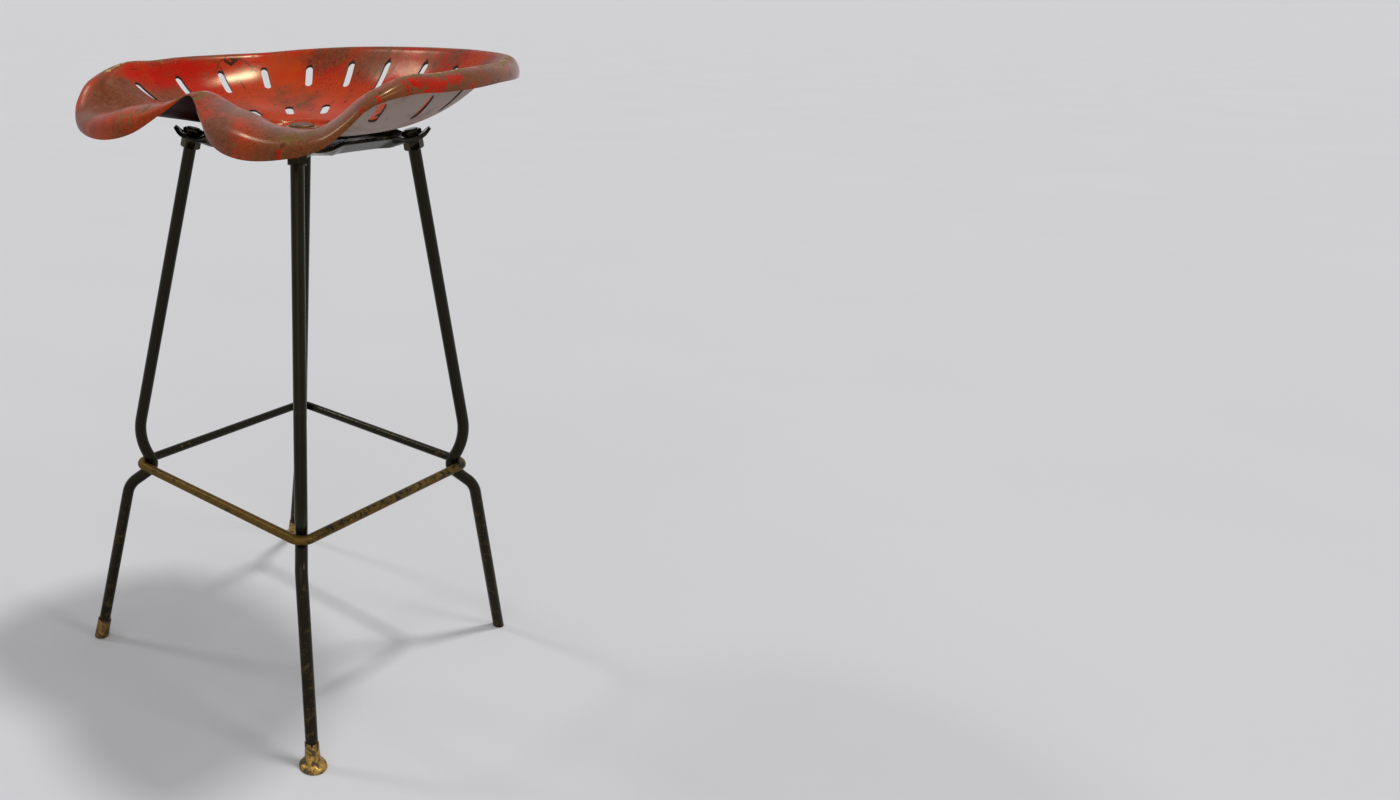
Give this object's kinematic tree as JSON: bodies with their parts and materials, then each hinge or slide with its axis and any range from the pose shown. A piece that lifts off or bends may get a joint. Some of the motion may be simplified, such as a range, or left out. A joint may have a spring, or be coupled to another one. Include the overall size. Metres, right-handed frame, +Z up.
{
  "type": "tractor seat stool",
  "caption": "Tall stool with a slotted pressed-metal tractor seat that swivels on bent rod legs with a square footrest ring.",
  "frame": {"origin": "on the floor under the swivel axis, at the bottom centre of the stool", "axes": "+Z up along the swivel axis, -Y the way the sitter faces, over the seat's notch, +X to the right in a view from the front"},
  "size_m": [0.4646, 0.4159, 0.7223],
  "materials": {
    "seat_paint": "worn semi-gloss red paint with brown patina and chips",
    "bare_steel": "dull olive-brown bare steel",
    "plated_steel": "dull plated steel",
    "black_paint": "gloss black with olive-brown wear",
    "black_nut": "black with bright worn corners",
    "bronze": "dull oiled bronze",
    "brass_foot": "worn brass"
  },
  "bodies": {
    "base": {"base_plate": "black_paint", "footrest_ring": "black_paint", "lower_race": "plated_steel", "swivel_bearing": "bronze", "clamp_washer": "plated_steel", "leg_front_right": "black_paint", "lower_nut_front_right": "black_nut", "upper_nut_front_right": "black_nut", "foot_glide_front_right": "brass_foot", "leg_back_right": "black_paint", "lower_nut_back_right": "black_nut", "upper_nut_back_right": "black_nut", "leg_back_left": "black_paint", "lower_nut_back_left": "black_nut", "upper_nut_back_left": "black_nut", "foot_glide_back_left": "brass_foot", "leg_front_left": "black_paint", "lower_nut_front_left": "black_nut", "upper_nut_front_left": "black_nut", "foot_cap_front_left": "brass_foot"},
    "seat": {"seat_pan": "seat_paint", "seat_washer": "bare_steel", "centre_bolt": "bare_steel", "upper_race": "plated_steel", "lock_nut": "plated_steel"}
  },
  "joints": [
    {"name": "seat_swivel", "type": "hinge", "parent": "base", "child": "seat", "pos_m": [0, 0, 0.64], "axis": [0, 0, 1], "continuous": true}
  ]
}
